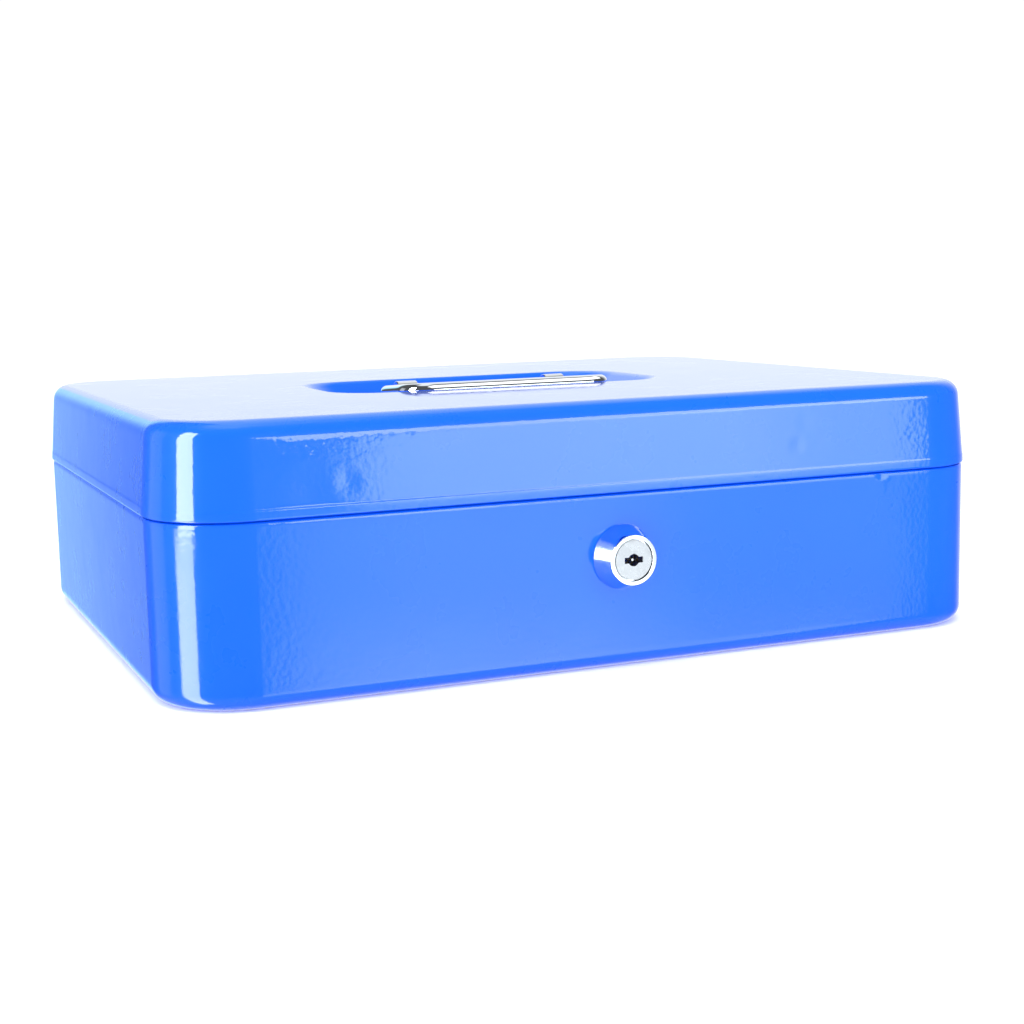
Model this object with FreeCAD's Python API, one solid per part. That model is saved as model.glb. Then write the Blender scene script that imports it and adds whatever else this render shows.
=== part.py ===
"""Steel cash box: drawn base and lid, hinges, cam lock, bail handle and lift-out coin tray.

Millimetres. Origin at the centre of the flat underside, +X to the right, the lock faces -Y, +Z up.
"""
import FreeCAD, Part
import math
import os

V = FreeCAD.Vector
os.makedirs("parts", exist_ok=True)

over = 1.0              # cutters run this far past the surface they cut

# ---- shells
body_w = 300.0          # lid width at its lower edge
body_d = 240.0          # lid depth at its lower edge
body_h = 88.0           # underside to the lid's flat top
part_z = 58.0           # height of the parting line
part_gap = 0.6          # dark line between base and lid
sheet = 0.8             # steel sheet thickness
corner_r = 28.0         # plan corner radius of the lid
lid_overhang = 0.5      # lid stands proud of the base, per side
lid_draft = 2.5         # lid wall leans in by this much, per side
base_edge_r = 5.5       # underside edge radius
lid_edge_r = 6.0        # top edge radius
shoulder_r = 0.7        # rolled edge where the base steps in
lip_gap = 0.6           # lip to the inside of the lid
lip_h = 4.8             # lip height above the parting line

# ---- pressed recess in the lid
recess_half_l = 65.0
recess_half_w = 34.4
recess_r = 20.0
recess_depth = 9.0
recess_end_run = 13.0   # slope of the end walls, measured flat
recess_side_run = 5.5   # slope of the long walls, measured flat

# ---- bail handle and its clips
wire_r = 2.5
bail_half_w = 39.5      # pivot line to leg centre
grip_clear = 0.9        # grip to the recess rim
bail_grip_r = 8.0       # bend at the grip
bail_foot_r = 5.0       # bend at the pivot
bail_end_x = 25.0       # where the wire stops, from the middle
bail_grip_z = body_h    # grip centre sits level with the lid
bail_pivot_z = body_h - 2.5
pivot_clear = 0.1
clip_t = 1.4
clip_x0 = 26.5          # inner edge of a clip
clip_x1 = 34.5          # outer edge of a clip
tab_drop = 2.4          # clip tab below the pan
tab_foot = 5.0          # bent part of the tab
tab_inset = 1.5         # clip end to the tab's edge

# ---- hinges
hinge_x = 88.0          # hinge centre from the middle
hinge_w = 36.0
knuckle_r = 2.6
pin_r = 1.25
pin_clear = 0.05
hinge_out = 0.5         # axis outside the lid's rear face
knuckle_gap = 0.3
leaf_t = 1.0
leaf_h = 20.0
notch_clear = 1.0       # wall cut-out around the knuckles
stop_reach = 5.2        # stop lug behind the hinge axis
stop_drop = 0.7         # lug top below the axis
pin_head_r = 2.1
pin_head_t = 1.0

# ---- rivets
rivet_r = 1.5
rivet_hole_clear = 0.05
rivet_head_r = 3.0
rivet_head_t = 1.3
rivet_tail_r = 2.5
rivet_tail_t = 0.9
rivet_spread = 11.0     # rivet to hinge centre
rivet_drop = 12.5       # rivet row from the hinge axis

# ---- lock
lock_z = 37.0
bezel_r = 10.8          # cone at the wall
bezel_face_r = 8.3
bezel_out = 8.5
barrel_r = 9.0
barrel_len = 11.0       # behind the wall
plug_r = 6.5
plug_clear = 0.05
plug_recess = 0.3       # plug face behind the bezel face
plug_tail = 0.8         # plug past the end of the barrel
washer_r = 12.6
washer_t = 1.0
nut_flats = 22.0
nut_t = 3.5
thread_clear = 0.03
key_slot_w = 6.5
key_slot_h = 1.9
key_eye_r = 2.0
key_depth = 15.0
core_pin_r = 0.75
core_pin_back = 1.0     # pin tip behind the plug face
wafer_count = 5
wafer_t = 1.2
wafer_pitch = 2.4
wafer_l = 12.2
wafer_h = 7.2
wafer_first = 3.2       # first wafer behind the plug face
wafer_clear = 0.1
wafer_lug_w = 1.0       # lug that the spring pushes
window_clear = 0.2      # wafer window around the key
spring_coil_r = 0.45
spring_wire_r = 0.15
spring_len = 3.6
spring_turns = 5
spring_end_gap = 0.2
spring_lug_h = 1.6
cam_t = 1.5
cam_arm_w = 8.0
cam_hook_in = 19.0      # hook's inner edge from the lock axis
cam_hook_out = 25.0
cam_hook_l = 14.0
boss = 6.0              # square on the plug's tail
boss_clear = 0.05
cam_washer_r = 5.0
cam_washer_t = 0.8
screw_r = 2.0
screw_len = 8.0
screw_head_r = 3.5
screw_head_t = 2.6
screw_head_edge = 0.6
screw_tip_gap = 1.0     # tapped hole past the screw's tip
cross_half_l = 2.2      # cross recess in the head
cross_half_w = 0.5
cross_deep = 1.3

# ---- striker
striker_t = 1.2
striker_x0 = 5.5
striker_x1 = 13.5
striker_free = 0.7      # hook to ledge when locked
striker_behind = 3.0    # ledge past the cam
striker_weld_z = 8.5    # weld plate above the parting line
striker_weld_h = 11.0
striker_weld_x = 24.0   # half width of the weld plate
striker_lip_gap = 0.7

# ---- tray and its brackets
bracket_t = 1.0
bracket_l = 140.0
bracket_ledge = 8.5
bracket_drop = 11.0
bracket_top = 54.0
tray_lift_gap = 0.3
tray_rim_t = 2.0
tray_wall = 1.6
tray_side_gap = 4.2     # tray rim to the base wall
tray_rim_over = 6.8     # rim past the wells
tray_front_gap = 22.5   # front wall to the tray, clear of the lock
tray_rear_gap = 8.5     # tray to the rear wall, clear of the hinges
tray_corner_r = 16.0
tray_web = 4.0          # top of the wall between two wells
well_count = 5
well_l = 80.0
well_deep = 30.0
note_count = 3
note_deep = 31.0
note_r = 8.0

# ---- worked out from the sizes above
base_w = body_w - 2 * lid_overhang
base_d = body_d - 2 * lid_overhang
base_r = corner_r - lid_overhang
base_top = part_z - part_gap / 2
lid_bottom = part_z + part_gap / 2
lid_slope = lid_draft / (body_h - lid_bottom)
lip_z = part_z + lip_h
lip_in = sheet + lip_gap + lid_slope * lip_h - lid_overhang
wall_front = -base_d / 2
wall_rear = base_d / 2
inner_front = wall_front + sheet
hinge_y = body_d / 2 + hinge_out
pan_z = body_h - recess_depth
bail_reach = recess_half_w - wire_r - grip_clear  # pivot to grip centre
face_y = wall_front - bezel_out
plug_front = face_y + plug_recess
barrel_end = inner_front + barrel_len
cam_front = barrel_end + plug_tail
cam_back = cam_front + cam_t
tray_top = bracket_top + tray_lift_gap + tray_rim_t
tray_half_w = base_w / 2 - sheet - tray_side_gap
well_half_w = tray_half_w - tray_rim_over
tray_front = wall_front + tray_front_gap
tray_rear = wall_rear - tray_rear_gap


def export(name, *solids):
    """Write one sub-part, as one solid or a group of separate solids."""
    shape = solids[0] if len(solids) == 1 else Part.makeCompound(list(solids))
    shape.exportStep("parts/" + name + ".step")


def box(x0, x1, y0, y1, z0, z1):
    return Part.makeBox(x1 - x0, y1 - y0, z1 - z0, V(x0, y0, z0))


def rod(radius, length, start, direction):
    return Part.makeCylinder(radius, length, start, direction)


def rounded_wire(width, depth, radius, z, cy=0.0):
    """Rounded rectangle about (0, cy), as lines and quarter arcs."""
    edges = []
    hx, hy = width / 2, depth / 2
    corners = [(hx - radius, -hy + radius, -90), (hx - radius, hy - radius, 0),
               (-hx + radius, hy - radius, 90), (-hx + radius, -hy + radius, 180)]
    arcs = []
    for x, y, start in corners:
        points = [V(x + radius * math.cos(math.radians(a)), cy + y + radius * math.sin(math.radians(a)), z)
                  for a in (start, start + 45, start + 90)]
        arcs.append(points)
    for i, points in enumerate(arcs):
        edges.append(Part.Arc(*points).toShape())
        edges.append(Part.LineSegment(points[2], arcs[(i + 1) % 4][0]).toShape())
    return Part.Wire(edges)


def rounded_block(width, depth, radius, z0, z1, cy=0.0):
    face = Part.Face(rounded_wire(width, depth, radius, z0, cy))
    return face.extrude(V(0, 0, z1 - z0))


def drafted_block(width, depth, radius, z0, z1, inset_x, inset_y, cy=0.0):
    """Rounded block that is inset at z1 by a given amount on each side."""
    low = rounded_wire(width, depth, radius, z0, cy)
    small = radius - min(inset_x, inset_y)
    high = rounded_wire(width - 2 * inset_x, depth - 2 * inset_y, small, z1, cy)
    return Part.makeLoft([low, high], True, True)


def edges_at(shape, z):
    """Edges that lie flat at height z."""
    flat = []
    for edge in shape.Edges:
        bounds = edge.BoundBox
        if abs(bounds.ZMin - z) < 1e-4 and abs(bounds.ZMax - z) < 1e-4:
            flat.append(edge)
    return flat


def bent_sheet(points, thickness, x0, x1):
    """Sheet bent along a line of (y, z) points; the thickness is on the line's left."""
    normals = []
    for (ya, za), (yb, zb) in zip(points, points[1:]):
        run = math.hypot(yb - ya, zb - za)
        normals.append(((za - zb) / run, (yb - ya) / run))
    offset = []
    for i, (y, z) in enumerate(points):
        before = normals[max(i - 1, 0)]
        after = normals[min(i, len(normals) - 1)]
        my, mz = before[0] + after[0], before[1] + after[1]
        scale = 2 * thickness / (my * my + mz * mz)
        offset.append((y + my * scale, z + mz * scale))
    outline = [V(x0, y, z) for y, z in points + offset[::-1]]
    return Part.Face(Part.makePolygon(outline + outline[:1])).extrude(V(x1 - x0, 0, 0))


def lid_inner_y(z):
    """Inside face of the lid wall, as a distance from the middle."""
    return body_d / 2 - sheet - lid_slope * (z - lid_bottom)


def hinge_slots(z0, z1):
    """Cut-outs in the rear wall for both hinges."""
    half = hinge_w / 2 + notch_clear
    y0 = wall_rear - lip_in - 2 * sheet - notch_clear
    return [box(s * hinge_x - half, s * hinge_x + half, y0, hinge_y, z0, z1) for s in (-1, 1)]


def hinge_rivet_points():
    return [s * hinge_x + t * rivet_spread for s in (-1, 1) for t in (-1, 1)]


# ---- base
def make_base_shell():
    outer = rounded_block(base_w, base_d, base_r, 0, base_top)
    outer = outer.makeFillet(base_edge_r, edges_at(outer, 0))
    outer = outer.makeFillet(shoulder_r, edges_at(outer, base_top))
    lip = rounded_block(base_w - 2 * lip_in, base_d - 2 * lip_in, base_r - lip_in, base_edge_r, lip_z)
    inner_top = base_top - sheet
    cavity = rounded_block(base_w - 2 * sheet, base_d - 2 * sheet, base_r - sheet, sheet, inner_top)
    cavity = cavity.makeFillet(base_edge_r - sheet, edges_at(cavity, sheet))
    mouth_in = lip_in + sheet
    mouth = rounded_block(base_w - 2 * mouth_in, base_d - 2 * mouth_in, base_r - mouth_in,
                          base_edge_r, lip_z + over)
    shell = outer.fuse(lip).cut(cavity.fuse(mouth))
    cuts = hinge_slots(part_z - knuckle_r - notch_clear, lip_z + over)
    cuts.append(rod(barrel_r + thread_clear, 4 * sheet, V(0, wall_front - sheet, lock_z), V(0, 1, 0)))
    for x in hinge_rivet_points():
        start = V(x, wall_rear + sheet, part_z - rivet_drop)
        cuts.append(rod(rivet_r + rivet_hole_clear, 3 * sheet, start, V(0, -1, 0)))
    for cut in cuts:
        shell = shell.cut(cut)
    return shell.removeSplitter()


# ---- lid
def recess_space(grow, top):
    """Space pressed down from the lid's top, grown sideways and down by the sheet."""
    z0, z1 = pan_z - grow, body_h
    rise = (z1 - z0) / recess_depth
    half_l = recess_half_l + grow
    half_w = recess_half_w + grow
    pressed = drafted_block(2 * half_l, 2 * half_w, recess_r + grow, z1, z0,
                            recess_end_run * rise, recess_side_run * rise)
    if top > z1:
        pressed = pressed.fuse(rounded_block(2 * half_l, 2 * half_w, recess_r + grow, z1, top))
    return pressed


def make_lid_shell():
    outer = drafted_block(body_w, body_d, corner_r, lid_bottom, body_h, lid_draft, lid_draft)
    outer = outer.makeFillet(lid_edge_r, edges_at(outer, body_h))
    inner_w, inner_d = body_w - 2 * sheet, body_d - 2 * sheet
    roof = body_h - sheet
    inset = lid_slope * (roof - lid_bottom)
    inner = drafted_block(inner_w, inner_d, corner_r - sheet, lid_bottom, roof, inset, inset)
    inner = inner.makeFillet(lid_edge_r - sheet, edges_at(inner, roof))
    shell = outer.cut(inner).fuse(recess_space(sheet, body_h)).cut(recess_space(0, body_h + over))
    for cut in hinge_slots(lid_bottom - over, part_z + knuckle_r + notch_clear):
        shell = shell.cut(cut)
    for side in (-1, 1):
        for cut in clip_slots(side):
            shell = shell.cut(cut)
    for x in hinge_rivet_points():
        shell = shell.cut(lid_rivet_rod(x, rivet_r + rivet_hole_clear, -2 * sheet, 4 * sheet))
    return shell.removeSplitter()


def lid_rivet_rod(x, radius, start, length):
    """Rod square to the lid's leaning rear wall; start is measured outward from its inside face."""
    z = part_z + rivet_drop
    lean = math.atan(lid_slope)
    out = V(0, math.cos(lean), math.sin(lean))
    return rod(radius, length, V(x, lid_inner_y(z), z) + out * start, out)


# ---- handle
def clip_leg_y():
    """Inner and outer faces of a clip's legs, from the pivot line."""
    inner = wire_r + pivot_clear
    return inner, inner + clip_t


def clip_slots(side):
    inner, outer = clip_leg_y()
    x0, x1 = sorted((side * (clip_x0 + tab_inset), side * (clip_x1 - tab_inset)))
    grow = rivet_hole_clear
    return [box(x0 - grow, x1 + grow, min(a, b) - grow, max(a, b) + grow, pan_z - 2 * sheet, pan_z + sheet)
            for a, b in ((inner, outer), (-outer, -inner))]


def make_handle_clip(side):
    """Saddle over the wire, with two tabs through the pan that are bent out beneath it."""
    inner, outer = clip_leg_y()
    x0, x1 = sorted((side * clip_x0, side * clip_x1))
    tab0, tab1 = x0 + tab_inset, x1 - tab_inset
    along = V(1, 0, 0)
    start = V(x0, 0, bail_pivot_z)
    arch = rod(outer, x1 - x0, start, along).fuse(box(x0, x1, -outer, outer, pan_z, bail_pivot_z))
    bore = rod(inner, x1 - x0, start, along).fuse(box(x0, x1, -inner, inner, pan_z, bail_pivot_z))
    clip = arch.cut(bore)
    foot_z = pan_z - tab_drop
    for sign in (-1, 1):
        ya, yb = sorted((sign * inner, sign * outer))
        clip = clip.fuse(box(tab0, tab1, ya, yb, foot_z, pan_z))
        fa, fb = sorted((sign * outer, sign * (outer + tab_foot)))
        clip = clip.fuse(box(tab0, tab1, fa, fb, foot_z, pan_z - sheet))
    return clip.removeSplitter()


def make_bail_handle():
    """One wire: grip, two legs and two ends turned in through the clips."""
    rise = bail_grip_z - bail_pivot_z
    length = math.hypot(bail_reach, rise)

    def place(x, along):
        return V(x, -bail_reach * along / length, bail_pivot_z + rise * along / length)

    route = []
    for side in (-1, 1):
        half = [place(side * bail_end_x, 0), place(side * (bail_half_w - bail_foot_r), 0)]
        bend = bail_foot_r * (1 - math.sqrt(0.5))
        half.append(place(side * (bail_half_w - bend), bend))
        half += [place(side * bail_half_w, bail_foot_r), place(side * bail_half_w, length - bail_grip_r)]
        bend = bail_grip_r * (1 - math.sqrt(0.5))
        half.append(place(side * (bail_half_w - bend), length - bend))
        half.append(place(side * (bail_half_w - bail_grip_r), length))
        route.append(half)
    left, right = route[0], route[1][::-1]
    edges = []
    a, b, c, d, e, f, g = left
    edges += [Part.LineSegment(a, b).toShape(), Part.Arc(b, c, d).toShape(),
              Part.LineSegment(d, e).toShape(), Part.Arc(e, f, g).toShape(),
              Part.LineSegment(g, right[0]).toShape()]
    a, b, c, d, e, f, g = right
    edges += [Part.Arc(a, b, c).toShape(), Part.LineSegment(c, d).toShape(),
              Part.Arc(d, e, f).toShape(), Part.LineSegment(f, g).toShape()]
    path = Part.Wire(edges)
    section = Part.Wire([Part.makeCircle(wire_r, left[0], V(1, 0, 0))])
    wire = path.makePipeShell([section], True, True)
    return wire if wire.Volume > 0 else wire.reversed()


# ---- hinges
def knuckle_spans(count=5):
    width = hinge_w / count
    return [(-hinge_w / 2 + i * width, -hinge_w / 2 + (i + 1) * width) for i in range(count)]


def make_leaf(side, on_lid):
    """Leaf behind the wall, rolled into every second knuckle around the pin."""
    centre = side * hinge_x
    sign = 1 if on_lid else -1
    x0, x1 = centre - hinge_w / 2, centre + hinge_w / 2
    near = part_z + sign * (knuckle_r + knuckle_gap)
    far = part_z + sign * leaf_h
    if on_lid:
        points = [(lid_inner_y(far), far), (lid_inner_y(near), near)]
        leaf = bent_sheet(points[::-1], leaf_t, x0, x1)
        neck_y = lid_inner_y(near)
    else:
        wall = wall_rear - sheet
        leaf = box(x0, x1, wall - leaf_t, wall, far, near)
        neck_y = wall
    axis = V(1, 0, 0)
    for i, (a, b) in enumerate(knuckle_spans()):
        if (i % 2 == 0) == on_lid:
            continue
        a, b = a + knuckle_gap / 2, b - knuckle_gap / 2
        low, high = sorted((near + sign * leaf_t / 2, part_z))
        neck = box(centre + a, centre + b, neck_y - leaf_t, neck_y, low, high)
        leaf = leaf.fuse(rod(knuckle_r, b - a, V(centre + a, hinge_y, part_z), axis)).fuse(neck)
        if not on_lid and i == 2:
            lug = box(centre + a, centre + b, hinge_y, hinge_y + stop_reach,
                      part_z - knuckle_r, part_z - stop_drop)
            leaf = leaf.fuse(lug)
    leaf = leaf.cut(rod(pin_r + pin_clear, hinge_w + 2 * over, V(x0 - over, hinge_y, part_z), axis))
    for t in (-1, 1):
        x = centre + t * rivet_spread
        if on_lid:
            leaf = leaf.cut(lid_rivet_rod(x, rivet_r + rivet_hole_clear, -3 * sheet, 5 * sheet))
        else:
            start = V(x, wall_rear + sheet, part_z - rivet_drop)
            leaf = leaf.cut(rod(rivet_r + rivet_hole_clear, 5 * sheet, start, V(0, -1, 0)))
    return leaf.removeSplitter()


def make_hinge_pin(side):
    x0 = side * hinge_x - hinge_w / 2
    axis = V(1, 0, 0)
    pin = rod(pin_r, hinge_w + pin_head_t, V(x0, hinge_y, part_z), axis)
    head = rod(pin_head_r, pin_head_t, V(x0 - pin_head_t, hinge_y, part_z), axis)
    return pin.fuse(head).removeSplitter()


def dome(radius, height):
    """Rivet head on the XY plane, crowned along +Z."""
    ball_r = (radius * radius + height * height) / (2 * height)
    ball = Part.makeSphere(ball_r, V(0, 0, height - ball_r))
    return ball.common(Part.makeCylinder(radius + over, height, V(0, 0, 0), V(0, 0, 1)))


def make_rivet(grip):
    """Rivet along +Z: head outside at z = 0, shank through `grip`, flat tail beneath."""
    shank = rod(rivet_r, grip, V(0, 0, -grip), V(0, 0, 1))
    tail = rod(rivet_tail_r, rivet_tail_t, V(0, 0, -grip - rivet_tail_t), V(0, 0, 1))
    return dome(rivet_head_r, rivet_head_t).fuse(shank).fuse(tail).removeSplitter()


def place_rivets(on_lid):
    rivets = []
    lean = math.degrees(math.atan(lid_slope)) if on_lid else 0.0
    sign = 1 if on_lid else -1
    z = part_z + sign * rivet_drop
    for x in hinge_rivet_points():
        rivet = make_rivet(sheet + leaf_t)
        rivet.rotate(V(0, 0, 0), V(1, 0, 0), -90 + lean)
        if on_lid:
            out = V(0, math.cos(math.radians(lean)), math.sin(math.radians(lean)))
            rivet.translate(V(x, lid_inner_y(z), z) + out * (sheet * out.y))
        else:
            rivet.translate(V(x, wall_rear, z))
        rivets.append(rivet)
    return rivets


# ---- lock
def make_lock_housing():
    back = V(0, 1, 0)
    cone = Part.makeCone(bezel_face_r, bezel_r, bezel_out, V(0, face_y, lock_z), back)
    barrel = rod(barrel_r, barrel_end - wall_front, V(0, wall_front, lock_z), back)
    bore = rod(plug_r + plug_clear, barrel_end - face_y + 2 * over, V(0, face_y - over, lock_z), back)
    return cone.fuse(barrel).cut(bore).removeSplitter()


def wafer_starts():
    return [plug_front + wafer_first + i * wafer_pitch for i in range(wafer_count)]


def make_lock_plug():
    back = V(0, 1, 0)
    plug = rod(plug_r, cam_front - plug_front, V(0, plug_front, lock_z), back)
    plug = plug.fuse(box(-boss / 2, boss / 2, cam_front, cam_back, lock_z - boss / 2, lock_z + boss / 2))
    cuts = [box(-key_slot_w / 2, key_slot_w / 2, plug_front - over, plug_front + key_depth,
                lock_z - key_slot_h / 2, lock_z + key_slot_h / 2),
            rod(key_eye_r, key_depth + over, V(0, plug_front - over, lock_z), back),
            rod(screw_r + thread_clear, screw_len + over, V(0, cam_back - screw_len, lock_z), back)]
    for y in wafer_starts():
        cuts.append(box(-plug_r - over, plug_r + over, y, y + wafer_t + wafer_clear,
                        lock_z - wafer_h / 2 - wafer_clear, lock_z + wafer_h / 2 + wafer_clear))
        cuts.append(box(-wafer_lug_w - wafer_clear, spring_len, y, y + wafer_t + wafer_clear,
                        lock_z, lock_z + wafer_h / 2 + spring_lug_h))
    for cut in cuts:
        plug = plug.cut(cut)
    return plug.removeSplitter()


def make_lock_wafers():
    """Plates that slide across the plug, each with a window for the key and a spring lug."""
    wafers = []
    for y in wafer_starts():
        y0 = y + wafer_clear / 2
        plate = box(-wafer_l / 2, wafer_l / 2, y0, y0 + wafer_t, lock_z - wafer_h / 2, lock_z + wafer_h / 2)
        plate = plate.common(rod(plug_r - wafer_clear, wafer_t, V(0, y0, lock_z), V(0, 1, 0)))
        lug_top = lock_z + wafer_h / 2 + spring_lug_h - wafer_clear
        lug = box(-wafer_lug_w, 0, y0, y0 + wafer_t, lock_z, lug_top)
        window = rod(key_eye_r + window_clear, wafer_t + 2 * over, V(0, y0 - over, lock_z), V(0, 1, 0))
        half_w, half_h = key_slot_w / 2 + window_clear, key_slot_h / 2 + window_clear
        slot = box(-half_w, half_w, y0 - over, y0 + wafer_t + over, lock_z - half_h, lock_z + half_h)
        wafers.append(plate.fuse(lug).cut(window).cut(slot).removeSplitter())
    return wafers


def make_wafer_springs():
    springs = []
    length = spring_len - 2 * spring_end_gap
    for y in wafer_starts():
        helix = Part.makeHelix(length / spring_turns, length, spring_coil_r)
        start = V(spring_coil_r, 0, 0)
        section = Part.Wire([Part.makeCircle(spring_wire_r, start, V(0, 1, 0))])
        coil = Part.Wire(helix.Edges).makePipeShell([section], True, True)
        coil = coil if coil.Volume > 0 else coil.reversed()
        coil.rotate(V(0, 0, 0), V(0, 1, 0), 90)
        centre_z = lock_z + wafer_h / 2 + spring_lug_h / 2
        coil.translate(V(spring_end_gap, y + (wafer_t + wafer_clear) / 2, centre_z))
        springs.append(coil)
    return springs


def make_core_pin():
    start = plug_front + core_pin_back
    length = plug_front + key_depth - start
    tip = Part.makeCone(core_pin_r / 2, core_pin_r, core_pin_r, V(0, start, lock_z), V(0, 1, 0))
    stem = rod(core_pin_r, length - core_pin_r, V(0, start + core_pin_r, lock_z), V(0, 1, 0))
    return tip.fuse(stem).removeSplitter()


def ring(outer_r, inner_r, y0, length):
    start = V(0, y0, lock_z)
    return rod(outer_r, length, start, V(0, 1, 0)).cut(rod(inner_r, length, start, V(0, 1, 0)))


def make_lock_nut():
    corner = nut_flats / math.sqrt(3)
    y0 = inner_front + washer_t
    points = [V(corner * math.cos(math.radians(a)), y0, lock_z + corner * math.sin(math.radians(a)))
              for a in range(0, 361, 60)]
    body = Part.Face(Part.makePolygon(points)).extrude(V(0, nut_t, 0))
    return body.cut(rod(barrel_r + thread_clear, nut_t + 2 * over, V(0, y0 - over, lock_z), V(0, 1, 0)))


def make_cam():
    """Arm with a hook, drawn unlocked: the arm points to -X and the hook up."""
    reach = box(-cam_hook_out, 0, cam_front, cam_back, lock_z - cam_arm_w / 2, lock_z + cam_arm_w / 2)
    eye = rod(cam_arm_w, cam_t, V(0, cam_front, lock_z), V(0, 1, 0))
    hook = box(-cam_hook_out, -cam_hook_in, cam_front, cam_back, lock_z, lock_z + cam_hook_l)
    corners = [edge for edge in hook.Edges
               if abs(edge.BoundBox.XMin + cam_hook_out) < 1e-4 and edge.BoundBox.YLength > cam_t / 2
               and edge.BoundBox.ZMin > lock_z + cam_hook_l / 2]
    hook = hook.makeFillet(cam_t, corners)
    cam = reach.fuse(eye).fuse(hook)
    half = boss / 2 + boss_clear
    hole = box(-half, half, cam_front - over, cam_back + over, lock_z - half, lock_z + half)
    return cam.cut(hole).removeSplitter()


def make_cam_screw():
    start = cam_back + cam_washer_t
    shank = rod(screw_r, screw_len - screw_tip_gap + cam_washer_t, V(0, start, lock_z), V(0, -1, 0))
    head = rod(screw_head_r, screw_head_t, V(0, start, lock_z), V(0, 1, 0))
    rim = [edge for edge in head.Edges if edge.BoundBox.YMin > start + screw_head_t / 2]
    head = head.makeFillet(screw_head_edge, rim)
    slot_y = start + screw_head_t
    cross = [box(-x, x, slot_y - cross_deep, slot_y + over, lock_z - z, lock_z + z)
             for x, z in ((cross_half_l, cross_half_w), (cross_half_w, cross_half_l))]
    screw = shank.fuse(head)
    for cut in cross:
        screw = screw.cut(cut)
    return screw.removeSplitter()


def make_striker():
    """Strip welded inside the lid's front wall; the cam hooks over its ledge."""
    ledge_top = lock_z + cam_hook_in - striker_free
    drop_y = wall_front + lip_in + sheet + striker_lip_gap
    weld0, weld1 = part_z + striker_weld_z, part_z + striker_weld_z + striker_weld_h
    points = [(-lid_inner_y(weld0), weld0), (drop_y, lip_z + striker_lip_gap),
              (drop_y, ledge_top - striker_t), (cam_back + striker_behind, ledge_top - striker_t)]
    tongue = bent_sheet([(-lid_inner_y(weld1), weld1)] + points, striker_t, striker_x0, striker_x1)
    plate = bent_sheet([(-lid_inner_y(weld1), weld1), points[0]], striker_t,
                       -striker_weld_x, striker_weld_x)
    return tongue.fuse(plate).removeSplitter()


# ---- tray
def make_bracket(side):
    """Angle welded inside the side wall; the tray's rim rests on its ledge."""
    wall = base_w / 2 - sheet
    half = bracket_l / 2
    upright = box(wall - bracket_t, wall, -half, half, bracket_top - bracket_drop, bracket_top)
    ledge = box(wall - bracket_ledge, wall, -half, half, bracket_top - bracket_t, bracket_top)
    angle = upright.fuse(ledge).removeSplitter()
    return angle if side > 0 else angle.mirror(V(0, 0, 0), V(1, 0, 0))


def well_centres():
    pitch = (2 * well_half_w + tray_web) / well_count
    return [-well_half_w - tray_web / 2 + pitch * (i + 0.5) for i in range(well_count)], pitch - tray_web


def well_space(x, width, grow):
    """Round-bottomed coin well along Y; one that is wider than twice its depth gets a shallow arc."""
    half = width / 2 + grow
    y0, y1 = tray_front + tray_rim_over / 2 - grow, tray_front + tray_rim_over / 2 + well_l + grow
    bottom = tray_top - well_deep - grow
    rise = min(half, well_deep + grow)
    radius = (half * half + rise * rise) / (2 * rise)
    trough = rod(radius, y1 - y0, V(x, y0, bottom + radius), V(0, 1, 0))
    trough = trough.common(box(x - half, x + half, y0, y1, bottom, bottom + rise))
    if bottom + rise < tray_top:
        trough = trough.fuse(box(x - half, x + half, y0, y1, bottom + rise, tray_top))
    return trough


def note_space(index, grow):
    """Flat-bottomed compartment behind the wells."""
    pitch = (2 * well_half_w + tray_web) / note_count
    x = -well_half_w - tray_web / 2 + pitch * (index + 0.5)
    y0 = tray_front + tray_rim_over / 2 + well_l + tray_web - grow
    y1 = tray_rear - tray_rim_over / 2 + grow
    half = (pitch - tray_web) / 2 + grow
    block = box(x - half, x + half, y0, y1, tray_top - note_deep - grow, tray_top)
    upright = [edge for edge in block.Edges if edge.BoundBox.ZLength > note_deep / 2]
    block = block.makeFillet(note_r + grow, upright)
    return block.makeFillet(note_r / 2 + grow, edges_at(block, tray_top - note_deep - grow))


def make_coin_tray():
    depth, centre = tray_rear - tray_front, (tray_rear + tray_front) / 2
    tray = rounded_block(2 * tray_half_w, depth, tray_corner_r, tray_top - tray_rim_t, tray_top, centre)
    xs, width = well_centres()
    for x in xs:
        tray = tray.fuse(well_space(x, width, tray_wall))
    for i in range(note_count):
        tray = tray.fuse(note_space(i, tray_wall))
    for x in xs:
        tray = tray.cut(well_space(x, width, 0))
    for i in range(note_count):
        tray = tray.cut(note_space(i, 0))
    return tray.removeSplitter()


export("base_shell", make_base_shell())
export("lid_shell", make_lid_shell())
export("bail_handle", make_bail_handle())
for side, word in ((-1, "left"), (1, "right")):
    export("handle_clip_" + word, make_handle_clip(side))
    export("hinge_base_leaf_" + word, make_leaf(side, False))
    export("hinge_lid_leaf_" + word, make_leaf(side, True))
    export("hinge_pin_" + word, make_hinge_pin(side))
    export("tray_bracket_" + word, make_bracket(side))
export("hinge_base_rivets", *place_rivets(False))
export("hinge_lid_rivets", *place_rivets(True))
export("lock_housing", make_lock_housing())
export("lock_plug", make_lock_plug())
export("lock_wafers", *make_lock_wafers())
export("lock_wafer_springs", *make_wafer_springs())
export("lock_core_pin", make_core_pin())
export("lock_washer", ring(washer_r, barrel_r + thread_clear, inner_front, washer_t))
export("lock_nut", make_lock_nut())
export("lock_cam", make_cam())
export("cam_washer", ring(cam_washer_r, screw_r + thread_clear, cam_back, cam_washer_t))
export("cam_screw", make_cam_screw())
export("striker", make_striker())
export("coin_tray", make_coin_tray())
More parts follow.
